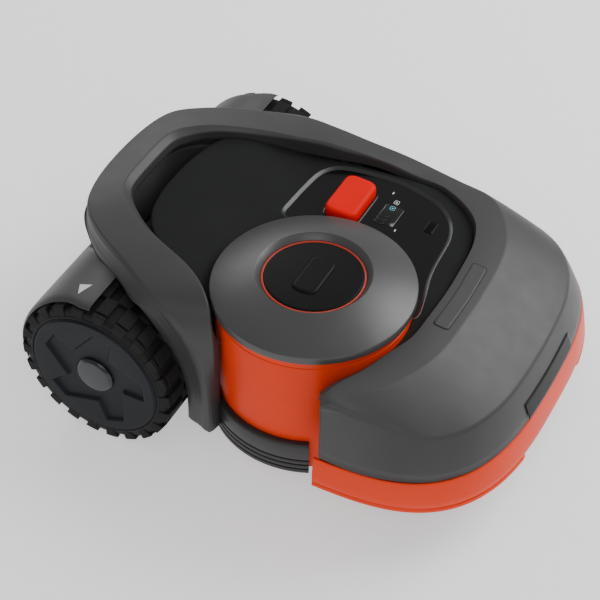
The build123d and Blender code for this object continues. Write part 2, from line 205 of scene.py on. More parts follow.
def revolve(name, profile, centre=DISC, axis="z", count=256, arc=None, sharp=35, closed=True):
    """Turn a profile of (radius, height) points about an axis."""
    full = arc is None
    lo, hi = (0, 360) if full else arc
    rows = count if full else count + 1
    verts = []
    for i in range(rows):
        a = math.radians(lo + (hi - lo) * i / count)
        for r, h in profile:
            if axis == "z":
                verts.append((centre[0] + r * math.cos(a), centre[1] + r * math.sin(a), centre[2] + h))
            else:
                verts.append((centre[0] + r * math.cos(a), h, centre[2] + r * math.sin(a)))
    cols = len(profile)
    faces = grid_faces(rows, cols, wrap_rows=full, wrap_cols=not full)
    if not full:
        faces.append(tuple(range(cols)))
        faces.append(tuple(range((rows - 1) * cols, rows * cols)))
    return make(name, verts, faces, sharp, closed=closed)


def outline(points, r, seg=8):
    """Closed outline with every corner rounded, as dense (x, y) points."""
    out = []
    n = len(points)
    radii = r if isinstance(r, (list, tuple)) else [r] * n
    for j in range(n):
        p0, p1, p2 = (np.array(points[k % n], float) for k in (j - 1, j, j + 1))
        back, ahead = p0 - p1, p2 - p1
        lb, la = np.linalg.norm(back), np.linalg.norm(ahead)
        d = min(radii[j], 0.48 * lb, 0.48 * la)
        a, b = p1 + back / lb * d, p1 + ahead / la * d
        for k in range(seg + 1):
            t = k / seg
            out.append(a * (1 - t) ** 2 + p1 * 2 * t * (1 - t) + b * t * t)
    return np.array(out)


def inset(points, d):
    """Move a closed outline inwards by d."""
    ahead = np.roll(points, -1, axis=0) - points
    back = points - np.roll(points, 1, axis=0)
    t = ahead / np.maximum(np.linalg.norm(ahead, axis=1), 1e-9)[:, None] + back / np.maximum(
        np.linalg.norm(back, axis=1), 1e-9)[:, None]
    t /= np.maximum(np.linalg.norm(t, axis=1), 1e-9)[:, None]
    area = 0.5 * np.sum(points[:, 0] * np.roll(points[:, 1], -1) - np.roll(points[:, 0], -1) * points[:, 1])
    n = np.stack([-t[:, 1], t[:, 0]], axis=1) * (1 if area > 0 else -1)
    return points + n * d


def plate(name, points, levels, tilt=False, sharp=35, ring=False):
    """A flat piece: rings of the outline at (inset, z) levels, closed at both ends or into a ring."""
    verts = []
    for d, z in levels:
        for x, y in inset(points, d):
            verts.append((x, y, z + (110 - x) * SLOPE if tilt else z))
    n = len(points)
    faces = grid_faces(len(levels), n, wrap_rows=ring, wrap_cols=True)
    if not ring:
        faces.append(tuple(range(n)))
        faces.append(tuple(range((len(levels) - 1) * n, len(levels) * n)))
    return make(name, verts, faces, sharp, closed=True)


def rounded_box(w, d, x, y):
    return [(x - w / 2, y - d / 2), (x + w / 2, y - d / 2), (x + w / 2, y + d / 2), (x - w / 2, y + d / 2)]


# ---------------------------------------------------------------- materials
def material(name, base, rough, metallic=0.0, vary=0.08, patch=14.0, grain=1400.0, bump=0.08, depth=0.1,
             coat=0.0, flake=0.0, wear=0.0, wear_colour=(0.4, 0.4, 0.4), pebble=0.0, shine=0.5):
    """Procedural finish: broad colour drift, fine grain in colour and relief, uneven gloss, faint wear."""
    mat = bpy.data.materials.new(name)
    mat.use_nodes = True
    tree = mat.node_tree
    nodes, links = tree.nodes, tree.links
    shader = nodes["Principled BSDF"]
    shader.inputs["Metallic"].default_value = metallic
    shader.inputs["Coat Weight"].default_value = coat
    shader.inputs["Specular IOR Level"].default_value = shine
    shader.inputs["Coat Roughness"].default_value = 0.12
    where = nodes.new("ShaderNodeTexCoord")

    def noise(scale, detail, rough_value=0.5):
        node = nodes.new("ShaderNodeTexNoise")
        node.inputs["Scale"].default_value = scale
        node.inputs["Detail"].default_value = detail
        node.inputs["Roughness"].default_value = rough_value
        links.new(where.outputs["Object"], node.inputs["Vector"])
        return node.outputs["Fac"]

    def mix(fac, a, b, blend="MIX"):
        node = nodes.new("ShaderNodeMix")
        node.data_type = "RGBA"
        node.blend_type = blend
        if isinstance(fac, float):
            node.inputs["Factor"].default_value = fac
        else:
            links.new(fac, node.inputs["Factor"])
        for socket, value in ((node.inputs["A"], a), (node.inputs["B"], b)):
            if isinstance(value, tuple):
                socket.default_value = (*value, 1)
            else:
                links.new(value, socket)
        return node.outputs["Result"]

    def band(value, lo, hi, a=0.0, b=1.0):
        node = nodes.new("ShaderNodeMapRange")
        node.inputs["From Min"].default_value = lo
        node.inputs["From Max"].default_value = hi
        node.inputs["To Min"].default_value = a
        node.inputs["To Max"].default_value = b
        links.new(value, node.inputs["Value"])
        return node.outputs["Result"]

    low = tuple(c * (1 - vary) for c in base)
    high = tuple(min(1.0, c * (1 + vary)) for c in base)
    colour = mix(band(noise(patch, 5.0), 0.3, 0.7), low, high)
    fine = noise(grain, 3.0, 0.6)
    colour = mix(band(fine, 0.25, 0.75, 0.0, 0.5), colour, tuple(c * (0.82 - flake * 0.2) for c in base))
    if flake:
        spark = nodes.new("ShaderNodeTexVoronoi")
        spark.inputs["Scale"].default_value = 2600.0
        links.new(where.outputs["Object"], spark.inputs["Vector"])
        colour = mix(band(spark.outputs["Distance"], 0.0, 0.28, flake, 0.0), colour,
                     tuple(min(1.0, c * 2.2 + 0.05) for c in base))
    scuff = band(noise(patch * 3.3, 9.0, 0.72), 0.62, 0.78, 0.0, max(wear, 0.06))
    colour = mix(scuff, colour, wear_colour)
    links.new(colour, shader.inputs["Base Color"])
    gloss = band(noise(patch * 2.1, 6.0, 0.65), 0.3, 0.75, max(0.03, rough - 0.03), min(1.0, rough + 0.04))
    links.new(gloss, shader.inputs["Roughness"])
    relief = nodes.new("ShaderNodeBump")
    relief.inputs["Strength"].default_value = bump
    relief.inputs["Distance"].default_value = depth * MM
    height = fine
    if pebble:
        cells = nodes.new("ShaderNodeTexVoronoi")
        cells.inputs["Scale"].default_value = pebble
        links.new(where.outputs["Object"], cells.inputs["Vector"])
        height = mix(0.6, fine, cells.outputs["Distance"])
    links.new(height, relief.inputs["Height"])
    links.new(relief.outputs["Normal"], shader.inputs["Normal"])
    return mat


MATS = {
    "shell_grey": material("shell_grey", (0.054, 0.054, 0.055), 0.46, 0.2, flake=0.2, vary=0.05,
                           wear_colour=(0.075, 0.075, 0.075), shine=0.4),
    "cover_dark": material("cover_dark", (0.018, 0.0184, 0.0192), 0.75, bump=0.5, depth=0.25, grain=2600,
                           pebble=900, wear_colour=(0.016, 0.016, 0.016), shine=0.08),
    "chassis_black": material("chassis_black", (0.009, 0.009, 0.01), 0.6, bump=0.3, depth=0.2, wear=0.12,
                              wear_colour=(0.03, 0.028, 0.025)),
    "console_gloss": material("console_gloss", (0.003, 0.003, 0.0035), 0.14, bump=0.01, wear=0.08,
                              wear_colour=(0.01, 0.01, 0.01), shine=0.35),
    "display_dark": material("display_dark", (0.004, 0.004, 0.005), 0.1, bump=0.01),
    "sensor_dark": material("sensor_dark", (0.003, 0.003, 0.0035), 0.16, bump=0.01, shine=0.15),
    "orange_paint": material("orange_paint", (0.86, 0.042, 0.0015), 0.38, 0.0, flake=0.04, vary=0.04,
                             wear_colour=(0.78, 0.045, 0.004), shine=0.2),
    "guard_grey": material("guard_grey", (0.022, 0.021, 0.021), 0.48, bump=0.15, wear=0.14,
                           wear_colour=(0.06, 0.06, 0.06)),
    "knob_grey": material("knob_grey", (0.076, 0.076, 0.077), 0.38, 0.35, flake=0.2, vary=0.04,
                          wear_colour=(0.14, 0.14, 0.14)),
    "knob_black": material("knob_black", (0.0085, 0.0085, 0.0088), 0.42, bump=0.12,
                           wear_colour=(0.012, 0.012, 0.012), shine=0.1),
    "knob_ring_red": material("knob_ring_red", (0.45, 0.03, 0.01), 0.35, wear_colour=(0.3, 0.05, 0.03)),
    "stop_red": material("stop_red", (0.85, 0.0008, 0.0006), 0.42, vary=0.04, wear=0.05,
                         wear_colour=(0.7, 0.01, 0.008), shine=0.07),
    "tyre_rubber": material("tyre_rubber", (0.015, 0.015, 0.0155), 0.66, bump=0.35, depth=0.25, wear=0.25,
                            wear_colour=(0.02, 0.0195, 0.0185), shine=0.12),
    "tyre_wall": material("tyre_wall", (0.008, 0.008, 0.0083), 0.6, bump=0.3, depth=0.2, wear=0.2,
                          wear_colour=(0.04, 0.039, 0.037), shine=0.2),
    "rim_slate": material("rim_slate", (0.0105, 0.0122, 0.016), 0.4, 0.0, bump=0.12, wear=0.1,
                          wear_colour=(0.02, 0.023, 0.028), shine=0.13),
    "cap_slate": material("cap_slate", (0.014, 0.016, 0.02), 0.26, 0.2, coat=0.2,
                          wear_colour=(0.04, 0.04, 0.045)),
    "steel": material("steel", (0.5, 0.5, 0.51), 0.3, 1.0, grain=900, wear=0.2,
                      wear_colour=(0.25, 0.24, 0.22)),
    "blade_steel": material("blade_steel", (0.6, 0.6, 0.61), 0.25, 1.0, grain=1200, wear=0.2,
                            wear_colour=(0.3, 0.28, 0.25)),
    "brass": material("brass", (0.7, 0.5, 0.2), 0.28, 1.0, wear=0.2, wear_colour=(0.35, 0.25, 0.1)),
    "rubber_soft": material("rubber_soft", (0.02, 0.02, 0.02), 0.7, bump=0.3),
    "motor_metal": material("motor_metal", (0.35, 0.35, 0.37), 0.45, 1.0, bump=0.25, depth=0.2, wear=0.2),
    "board_green": material("board_green", (0.01, 0.1, 0.04), 0.35, vary=0.2),
    "battery_blue": material("battery_blue", (0.01, 0.03, 0.14), 0.35, vary=0.15),
    "nylon_white": material("nylon_white", (0.55, 0.54, 0.5), 0.5),
    "icon_white": material("icon_white", (0.75, 0.78, 0.78), 0.5, vary=0.1, wear=0.1),
    "icon_cyan": material("icon_cyan", (0.15, 0.62, 0.72), 0.5, vary=0.1),
    "digit_grey": material("digit_grey", (0.02, 0.022, 0.024), 0.4, vary=0.15),
    # painted light: step_grey's base is several times lighter than the part's own dark grey, to stand in for
    # light that does not reach the hand hole's step and floor or the loop's underside
    "step_grey": material("step_grey", (0.06, 0.064, 0.061), 0.6, bump=0.15,
                          wear_colour=(0.08, 0.08, 0.08), shine=0.2),
    "frame_satin": material("frame_satin", (0.03, 0.031, 0.033), 0.32, 0.3, bump=0.05,
                            wear_colour=(0.06, 0.06, 0.06)),
}
slot_of = {row["node"]: row["material_slot"] for row in frame["record"]["subparts"]}
for node_name, node in frame["nodes"].items():
    node.data.materials.clear()
    node.data.materials.append(MATS[slot_of[node_name]])

# ---------------------------------------------------------------- shell: one skin from the arm's foot,
# round the carry loop, along the left side and round the nose to the right front corner
# each station: inner edge, upper crease, outer crease (or None), lower edge, lip (in, down, in, down)
ARM = [
    ((-58, -207, 45), (-62, -218, 45), None, (-100, -206, 45)),
    ((-58, -207, 95), (-62, -218, 95), None, (-98, -208, 90)),
    ((-58, -205, 150), (-66, -217, 152), None, (-104, -211, 130)),
    ((-57, -205, 188), (-76, -215, 186), None, (-116, -212, 165)),
    ((-64, -199, 226), (-96, -212, 214), None, (-131, -213, 194)),
    ((-78, -180, 248), (-133, -205, 238), None, (-154, -213, 223)),
    ((-124, -145, 254), (-170, -190, 247), None, (-176, -205, 226)),
]
LOOP = [
    ((-161, -133, 258), (-196, -176, 252), None, (-203, -187, 229)),
    ((-210, -114, 262), (-241, -155, 256), None, (-248, -162, 223)),
    ((-244, -94, 265), (-279, -130, 258), None, (-283, -134, 232)),
    ((-262, -77, 266), (-300, -109, 259), None, (-302, -111, 240)),
    ((-275, -45, 266), (-316, -47, 259), None, (-314, -47, 243)),
]
REAR = [((-276, 0, 266), (-318, 0, 259), None, (-316, 0, 243))]
LEFT = [
    ((-126, 145, 254), (-172, 190, 247), None, (-178, 205, 226)),
    ((-105, 156, 249), (-135, 203, 243), (-145, 210, 233), (-156, 213, 223)),
    ((-84, 163, 245), (-105, 207, 239), (-112, 213, 214), (-128, 214, 188)),
    ((-62, 170, 240), (-78, 209, 235), (-88, 220, 200), (-110, 226, 150)),
    ((-30, 178, 232), (-45, 211, 229.5), (-60, 228, 176), (-97, 249, 122)),
    ((5, 184, 224), (0, 213, 224), (-5, 229, 171), (-40, 250.5, 120)),
    ((42, 186, 216), (50, 213, 216), (50, 229, 170), (40, 250.5, 120)),
]
FRONT = [
    ((66, 186, 215), (91, 211, 210), (102, 229, 170), (102, 250.5, 120)),
    ((90, 179.5, 215), (122, 206, 210), (182, 224, 170), (189, 245, 120)),
    ((112, 168, 215), (144, 198, 210), (226, 208, 170), (237, 228, 120)),
    ((134, 151, 215), (170, 173, 210), (252, 188, 170), (266, 206, 120)),
    ((150, 129, 215), (190, 139, 210), (272, 161, 170), (289, 176, 120)),
    ((159, 101, 215), (198, 116, 210), (284, 132, 170), (302, 145, 120)),
    ((163, 69, 215), (204, 80, 210), (293, 93, 170), (312, 102, 120)),
    ((165, 35, 215), (206, 40, 210), (297, 45, 170), (316, 49, 120)),
]
NOSE = [((166, 0, 215), (207, 0, 210), (298, 0, 170), (317, 0, 120))]
RIGHT = [
    ((149, -126, 215), (189, -140, 210), (272, -161, 170), (289, -176, 120)),
    ((138, -158, 215), (172, -174, 210), (252, -188, 171), (266, -206, 120)),
    ((126, -186, 215), (148, -204, 210.5), (226, -208, 176), (237, -228, 120)),
    ((113, -212, 214.5), (128, -226, 210.5), (182, -222, 188), (189, -245, 120)),
    ((108, -230, 213), (118, -240, 209), (135, -238, 198), (140, -250, 120)),
    ((106, -234, 212), (110, -243, 207), (111, -243, 196), (112, -250.5, 123)),
]


def cover_top(x):
    """Height of the cover along its length: a slope, a rise behind the knob and a rounded rear edge."""
    base = COVER_Z + (110 - x) * SLOPE
    rise = 19.5 * smooth((-86 - x) / 106)
    return base + rise - 5.0 * np.clip((-196 - x) / 42, 0, 1) ** 2


def mirrored(rows):
    return [tuple(None if p is None else (p[0], -p[1], p[2]) for p in row) for row in reversed(rows)]


stations = ARM + LOOP + REAR + mirrored(LOOP) + LEFT + FRONT + NOSE + mirrored(FRONT[5:]) + RIGHT
LIPS = [(0.5, 5, 0, 14)] * 3 + [(1, 6, 0.5, 16), (1.5, 4, 2, 16), (2, 4, 3, 18), (3, 5, 4, 22)]
LIPS += [(4, 6, 5, 19), (7, 7, 8, 20), (10, 7, 12, 19)] + [(10, 7, 12, 18)] * 5
LIPS += [(7, 7, 8, 18), (5, 6, 6, 17), (4, 6, 5, 17)]
LIPS += [(3, 5, 3.5, 18)] * 4
LIPS += [(1.5, 4, 2, 14)] * (len(stations) - len(LIPS))

inner, crease, outer_crease, lower, lip, lip_low = [], [], [], [], [], []
for k, ((i, c, m, w), (in1, down1, in2, down2)) in enumerate(zip(stations, LIPS)):
    i, c, w = (np.array(p, float) for p in (i, c, w))
    m = c * 0.5 + w * 0.5 if m is None else np.array(m, float)
    away = i - c
    away[2] = 0
    away /= np.linalg.norm(away)
    if k < 4:
        lip.append(i + (in1, down1, 0))
        lip_low.append(i + (in2, down2, 0))
    elif k >= len(stations) - len(RIGHT):
        to_tower = np.array((DISC[0], DISC[1], 0)) - (i[0], i[1], 0)
        gap = np.linalg.norm(to_tower) - TOWER_R
        to_tower /= np.linalg.norm(to_tower)
        lip.append(i + to_tower * gap * 0.3 - (0, 0, 5))
        lip_low.append(i + to_tower * (gap - 1.2) - (0, 0, 14 + gap * 0.8))
    else:
        lip.append(i + away * in1 - (0, 0, down1))
        foot = i + away * in2 - (0, 0, down2)
        if i[1] > 0 and -220 < i[0] < 30:
            foot[2] = min(foot[2], cover_top(foot[0]) + 0.5)
        lip_low.append(foot)
    inner.append(i)
    crease.append(c)
    outer_crease.append(m)
    lower.append(w)

shell = strip("shell_skin", [lip_low, lip, inner, crease, outer_crease, lower], (2, 1.6, 2.6, 4.5),
              (0, 0, 0.5, 0.8, 0.8), count=900, flip=True, ease=16, soft_to=(430, 560))
solidify(shell, 2.4)
finish_piece(shell, "chassis", "shell_grey", "upper_shell")

n_loop = len(ARM) + 2 * len(LOOP) + 2
# the underside of the loop takes step_grey, whose lightened base is painted light where little light reaches
under = strip("loop_under_skin", [lower[3:n_loop], [(w * 0.5 + n * 0.5) - (0, 0, 4) for w, n in zip(
    lower[3:n_loop], lip_low[3:n_loop])], lip_low[3:n_loop]], (6,), (0, 0), count=240)
solidify(under, 2.0, 0)
finish_piece(under, "chassis", "step_grey")



def hand_hole_wall(name, slot, levels):
    """Wall below the loop's inner edge, at (distance behind the edge, distance below it) levels."""
    first, last = len(ARM), len(ARM) + 2 * len(LOOP) + 1
    rails = []
    for out, drop in levels:
        rail = []
        for p, c in zip(inner[first:last], crease[first:last]):
            away = c - p
            away[2] = 0
            rail.append(p + away / np.linalg.norm(away) * out - (0, 0, drop))
        rails.append(rail)
    wall = strip(name, rails, (3,) * (len(levels) - 2), (0,) * (len(levels) - 1), count=200, ease=12)
    solidify(wall, 1.6, 0)
    finish_piece(wall, "chassis", slot)


hand_hole_wall("hand_hole_wall", "shell_grey", ((0.2, 4), (0.6, 20), (1.4, 36)))
# the step below the loop takes step_grey, whose lightened base is painted light inside the hand hole
hand_hole_wall("hand_hole_step", "step_grey", ((2.2, 33), (-0.6, 37), (-0.4, 70), (0, 108)))

# ---------------------------------------------------------------- small shell plates
END = [(-232, 208), (-239, 203.5), (-240, 195), (-247.4, 124), (-206, 124), (-206, 198)]
end_wall = make("hood_end_wall", [(x + (212 - z) * 0.066, y, z) for x in (107, 109) for y, z in END],
                grid_faces(2, len(END), wrap_cols=True)
                + [tuple(range(len(END))), tuple(range(len(END), 2 * len(END)))], closed=True)
finish_piece(end_wall, "chassis", "shell_grey")
skirt = plate("side_skirt", outline([(-92, 247.5), (100, 247.5), (100, 250.6), (-92, 250.6)], 1.2, 3),
              [(1, 66), (0, 67), (0, 119)])
finish_piece(skirt, "chassis", "shell_grey")

# ---------------------------------------------------------------- dark inner cover
LEFT_EDGE = [(45, 184), (-40, 172), (-95, 160), (-158, 138), (-188, 130), (-210, 113), (-226, 84), (-235, 40)]
RIGHT_EDGE = [(-236, -24), (-226, -70), (-206, -102), (-172, -128), (-128, -148), (-95, -158), (-40, -171),
              (45, -184)]


def nose(a, b, n, count=120, start=0.0):
    """Rounded nose ahead of x = 102, from the right side to the left."""
    s = np.linspace(-1 + start, 1 - start, count)
    t = np.sign(s) * math.pi / 2 * (1 - (1 - np.abs(s)) ** (n / 2))
    x = 102 + a * np.abs(np.cos(t)) ** (2 / n)
    y = b * np.abs(np.sin(t)) ** (2 / n) * np.sign(t)
    return np.stack([x, y], axis=1)


front_half = nose(62.5, 184.5, 2.2)
edge = np.array(RIGHT_EDGE + list(front_half) + LEFT_EDGE)
edge = outline(edge, [30] * 7 + [30] + [0.5] * len(front_half) + [30] + [30] * 7, 5)
keep = np.concatenate([[True], np.linalg.norm(np.diff(edge, axis=0), axis=1) > 0.2])
edge = edge[keep]
verts = []
rings = [(0, -34), (0, -3.0), (0.5, -1.5), (1.6, -0.45), (3.2, 0), (7, 0)]
for d, dz in rings:
    for x, y in inset(edge, d):
        verts.append((x, y, cover_top(x) + dz))
inner_ring = inset(edge, 7)
for f in np.linspace(0.94, 0.02, 40):
    for x, y in inner_ring * f + np.array([-10, 0]) * (1 - f):
        verts.append((x, y, cover_top(x)))
cover_faces = grid_faces(len(rings) + 40, len(edge), wrap_cols=True)
cover_faces.append(tuple(range((len(rings) + 39) * len(edge), (len(rings) + 40) * len(edge))))
cover_faces.append(tuple(range(len(edge))))
cover = make("cover_skin", verts, cover_faces, 40, closed=True)

CONSOLE = [(-89, 30), (-86, 92), (-82, 130), (-66, 153), (-40, 162), (21, 171), (86, 158), (115, 131),
           (125, 102), (129, 30), (141, -14), (150, -60), (60, -60), (60, 20), (-60, 22)]
panel_edge = outline(CONSOLE, 22, 8)


def carve(obj, tool):
    """Cut tool out of obj for good, and drop the tool."""
    mod = obj.modifiers.new("cut", "BOOLEAN")
    mod.operation = "DIFFERENCE"
    mod.solver = "EXACT"
    mod.object = tool
    shown = obj.evaluated_get(bpy.context.evaluated_depsgraph_get())
    mesh = bpy.data.meshes.new_from_object(shown)
    obj.modifiers.remove(mod)
    obj.data = mesh
    bpy.data.objects.remove(tool)
    return obj


def round_well(radius):
    """Cutting tool for the round well that the tower stands in."""
    return revolve("round_well", [(0.01, 120), (radius, 120), (radius, 300), (0.01, 300)], closed=True)


COVER_WELL_R, PANEL_WELL_R = 126.6, 126.4
corner = np.array([(80, -200), (160, -200), (160, -122), (132, -122)], float)
carve(cover, plate("well", inset(panel_edge, -2.2), [(0, 180), (0, 240)]))
carve(cover, round_well(COVER_WELL_R))
carve(cover, plate("hood_corner", corner, [(0, 120), (0, 240)]))
cover.data.set_sharp_from_angle(angle=math.radians(35))
finish_piece(cover, "chassis", "cover_dark", "inner_cover")

# ---------------------------------------------------------------- gloss console, sunk in the cover
console = plate("console_skin", panel_edge, [(0.8, 199), (0.8, 203.0), (4, 203.0)], tilt=True)
carve(console, round_well(PANEL_WELL_R))
console.data.set_sharp_from_angle(angle=math.radians(30))
finish_piece(console, "chassis", "console_gloss", "console_panel")

frame_ring = plate("console_frame", panel_edge, [(-2.2, 200), (-2.2, 206.2), (-1.6, 206.5), (-0.8, 206.3),
                                                 (2.8, 203.3), (3.0, 200)], tilt=True)
carve(frame_ring, plate("hole", inset(panel_edge, 2.95), [(0, 180), (0, 240)]))
carve(frame_ring, round_well(PANEL_WELL_R))
frame_ring.data.set_sharp_from_angle(angle=math.radians(30))
finish_piece(frame_ring, "chassis", "frame_satin")

# ---------------------------------------------------------------- floor of the hand hole
# the floor takes step_grey, whose lightened base is painted light standing in for light that does not reach
# into the hand hole
hand_floor = plate("hand_hole_floor", outline([(-298, -100), (-180, -150), (-180, 150), (-298, 100)], 20, 4),
                   [(0, 150.2), (0, 158)])
finish_piece(hand_floor, "chassis", "step_grey")

# ---------------------------------------------------------------- display and sensor on the console
screen = plate("display_skin", outline(rounded_box(26, 40, 36, 104), 3), [(0, 203), (0, 203.3), (0.4, 203.5)],
               tilt=True)
finish_piece(screen, "chassis", "display_dark", "display_window")
sensor = plate("rain_sensor_skin", outline(rounded_box(12, 24, 93, 112), 2),
               [(0, 202.9), (0, 203.5), (0.6, 203.7)], tilt=True)
finish_piece(sensor, "chassis", "sensor_dark", "rain_sensor")


def mark(name, slot, x, y, w, d, z=203.7, r=1.0):
    """A small printed mark, a hair above the panel."""
    obj = plate(name, outline(rounded_box(w, d, x, y), r, 3), [(0, z - 0.25), (0, z)], tilt=True)
    return finish_piece(obj, "chassis", slot)


def ring_mark(name, slot, x, y, w, d, line=0.7, z=203.8, r=2.0):
    """A thin rounded outline printed on the panel."""
    path = outline(rounded_box(w, d, x, y), r, 4)
    n = len(path)
    verts = []
    for off in (0, line):
        for px, py in inset(path, off):
            verts.append((px, py, z + (110 - px) * SLOPE))
    return finish_piece(make(name, verts, grid_faces(2, n, wrap_cols=True)), "chassis", slot)


ring_mark("icon_home", "icon_white", 34, 131, 7, 8)
mark("icon_home_dot", "icon_white", 34, 131, 2.2, 3.2, 203.8, 0.6)
ring_mark("icon_start", "icon_cyan", 34, 118, 7, 8)
mark("icon_start_dot", "icon_cyan", 34, 118, 2.6, 2.6, 203.8, 1.2)
mark("icon_dot_a", "icon_white", 22, 146, 1.6, 4.5, 203.8, 0.6)
mark("icon_dot_b", "icon_white", 55, 81, 1.6, 4.5, 203.8, 0.6)
for k in range(3):
    for side in (-1, 1):
        mark("digit_%d_%d" % (k, side + 1), "digit_grey", 29 + 3.6 * side, 83 + 8 * k, 5.4, 0.9, r=0.3)
        mark("bar_%d_%d" % (k, side + 1), "digit_grey", 29 + 6.8 * side, 83 + 8 * k + 2.2, 0.9, 3.8, r=0.3)

# ---------------------------------------------------------------- stop button
stop_edge = outline(rounded_box(46, 80, -18, 97), 15, 10)
stop = plate("stop_skin", stop_edge, [(3, 213.5), (3, 198), (1, 198), (0, 199), (0, 214.5), (0.6, 216.6),
                                      (2.0, 218.6), (4.2, 219.6), (7, 219.9), (9, 219.9)],
             tilt=True, sharp=50)
finish_piece(stop, "stop_button", "stop_red", "stop_cap")
rim_ring = plate("stop_surround", stop_edge,
                 [(-3.0, 202), (-3.0, 204.6), (-2.4, 205.0), (-1.0, 205.0), (-1.0, 202)],
                 tilt=True, ring=True)
finish_piece(rim_ring, "chassis", "console_gloss")

# ---------------------------------------------------------------- tower, wear strip, knob
tower = revolve("tower_skin", [(120, 34.6), (124.6, 34.2), (125.4, 35), (125.5, 36), (125.5, 211.6),
                               (125.2, 212.2), (124.4, 212.6), (124.2, 213.4), (124.2, 220.8), (123.4, 221.8),
                               (60, 221.8), (60, 218.5), (120, 218.5)])
finish_piece(tower, "chassis", "orange_paint", "cutter_tower")
profile = [(126, 31.4), (132.6, 31.2), (134.2, 31.8), (134.9, 33.2)]
for z in (38, 46, 54):
    profile += [(134.95, z - 0.6), (134.6, z), (132.9, z + 0.5), (132.6, z + 1.2), (132.9, z + 1.9),
                (134.6, z + 2.4), (134.95, z + 3.0)]
profile += [(134.95, 78), (134.5, 80.4), (133.2, 82.2), (131.2, 82.9), (126, 82.9)]
guard = revolve("guard_skin", profile, arc=(-140, -65), count=160)
finish_piece(guard, "chassis", "guard_grey", "ribbed_guard")

knob = revolve("knob_skin", [(100, 225.2), (128.6, 225.2), (130.2, 225.8), (130.75, 227.2), (130.75, 234.9),
                             (130.3, 236.6), (129.0, 237.5), (74.6, 257.5), (73.9, 257.6), (73.2, 257.2),
                             (67.4, 250.4), (66.7, 249.4), (66.5, 243), (20, 243)], count=320)
finish_piece(knob, "height_knob", "knob_grey", "knob_disc")
ring = revolve("knob_ring_skin", [(63.3, 243), (66.4, 243), (66.4, 249.0), (66.0, 249.8), (64.6, 250.0),
                                  (63.3, 249.4)])
finish_piece(ring, "height_knob", "knob_ring_red", "knob_ring")
cap = revolve("knob_cap_skin", [(2, 243), (62.9, 243), (62.9, 249.0), (62.4, 250.1), (61.2, 250.7),
                                (59.5, 250.9), (2, 250.9)])
finish_piece(cap, "height_knob", "knob_black", "knob_cap")
badge = plate("knob_badge_skin", outline(rounded_box(35, 69, DISC[0], DISC[1]), 13, 8),
              [(0, 250.5), (0.1, 251.2), (1.2, 252.3), (2.6, 253.1), (4.2, 253.4), (6, 253.4)], sharp=60)
finish_piece(badge, "height_knob", "knob_black", "knob_badge")


# ---------------------------------------------------------------- bumper band
BAND = [(3.4, 118.1), (0.9, 118.3), (0.2, 117.7), (0, 116.4), (-0.5, 108), (-0.7, 98), (-0.5, 88),
        (-0.15, 80.4), (0.3, 79.6), (1.3, 79.0), (1.5, 78.2), (0.6, 77.4), (0.2, 76.4), (0.2, 73.4),
        (0.8, 72.0), (2.0, 71.4), (3.4, 71.4)]
BAND_COUNT = 260
verts = []
for d, z in BAND:
    f = (z - 70) / 50
    a, b = 225 + (215 - 225) * f, 256 + (251 - 256) * f
    tuck = 6.0 if z < 78.5 else 0.0
    for x, y in nose(a - d, b - d, 3.05, BAND_COUNT, 0.0125):
        x -= tuck * float(1 - smooth((abs(y) - 84) / 8)) * (x > 200)
        verts.append((min(x, 327.4), max(-255.9, min(255.9, y)), z))
band = make("band_skin", verts, grid_faces(len(BAND), BAND_COUNT), 40, flip=True)
solidify(band, 2.6)
finish_piece(band, "front_bumper", "orange_paint", "bumper_band")

# ---------------------------------------------------------------- dark window and lid on the hood
def patch(name, low, high, y0, y1, thick, z_of, corner=0.0):
    """A thin piece lying on the hood between two of its lines, from y0 to y1."""
    count, across = 80, 10
    verts = []
    for i in range(count):
        y = y0 + (y1 - y0) * i / (count - 1)
        edge_gap = min(y - y0, y1 - y)
        inward = max(0.0, corner - edge_gap)
        pinch = corner - math.sqrt(max(0.0, corner**2 - inward**2)) if corner else 0.0
        a, b = np.array(low(y)), np.array(high(y))
        span = np.linalg.norm(b - a)
        for j in range(across):
            f = pinch / span + (1 - 2 * pinch / span) * j / (across - 1)
            p = a * (1 - f) + b * f
            verts.append((p[0], p[1], p[2] + z_of(f)))
    obj = make(name, verts, grid_faces(count, across), 60)
    solidify(obj, thick, 0)
    return obj


def hood_line(which, part_of_way=0.0, toward=3):
    """Point on a hood rail at a given y, or part of the way from it to another rail."""
    rows = [FRONT[k] for k in range(4, 8)] + NOSE + mirrored(FRONT[5:]) + RIGHT[:1]
    table_a = np.array([row[which] for row in rows], float)
    table_b = np.array([row[toward] for row in rows], float)
    table = table_a * (1 - part_of_way) + table_b * part_of_way
    u = -table[:, 1]

    def at(y):
        return natural(u, table, np.array([-float(y)]))[0]

    return at


def flat(f):
    return 0.55


lid = patch("accessory_skin", hood_line(0, 0.26, 1), hood_line(0, 0.72, 1), -61, 64, 0.9, flat, 4.0)
finish_piece(lid, "chassis", "shell_grey", "accessory_cover")
lid_line = patch("accessory_line", hood_line(0, 0.235, 1), hood_line(0, 0.745, 1), -62.2, 65.2, 0.9,
                 lambda f: 0.3, 4.6)
finish_piece(lid_line, "chassis", "chassis_black")
window = patch("sensor_window_skin", hood_line(2, 0.55), hood_line(2, 0.985), -72, 72, 0.6, lambda f: 0.6)
for vert in window.data.vertices:
    vert.co.x += 0.0016
finish_piece(window, "chassis", "sensor_dark", "sensor_window")


# ---------------------------------------------------------------- fenders
OUTLINE_X = [-318, -316, -309, -290, -248, -196, -151]
OUTLINE_Y = [20, 48, 92, 127, 154, 178, 199]


def fender_rim(a):
    """Outer edge of a fender, in y, by the angle behind top dead centre."""
    return 244.5 - 2.5 * math.sin(a * 3.2) - 2.0 * float(smooth((a - 1.2) / 0.6))


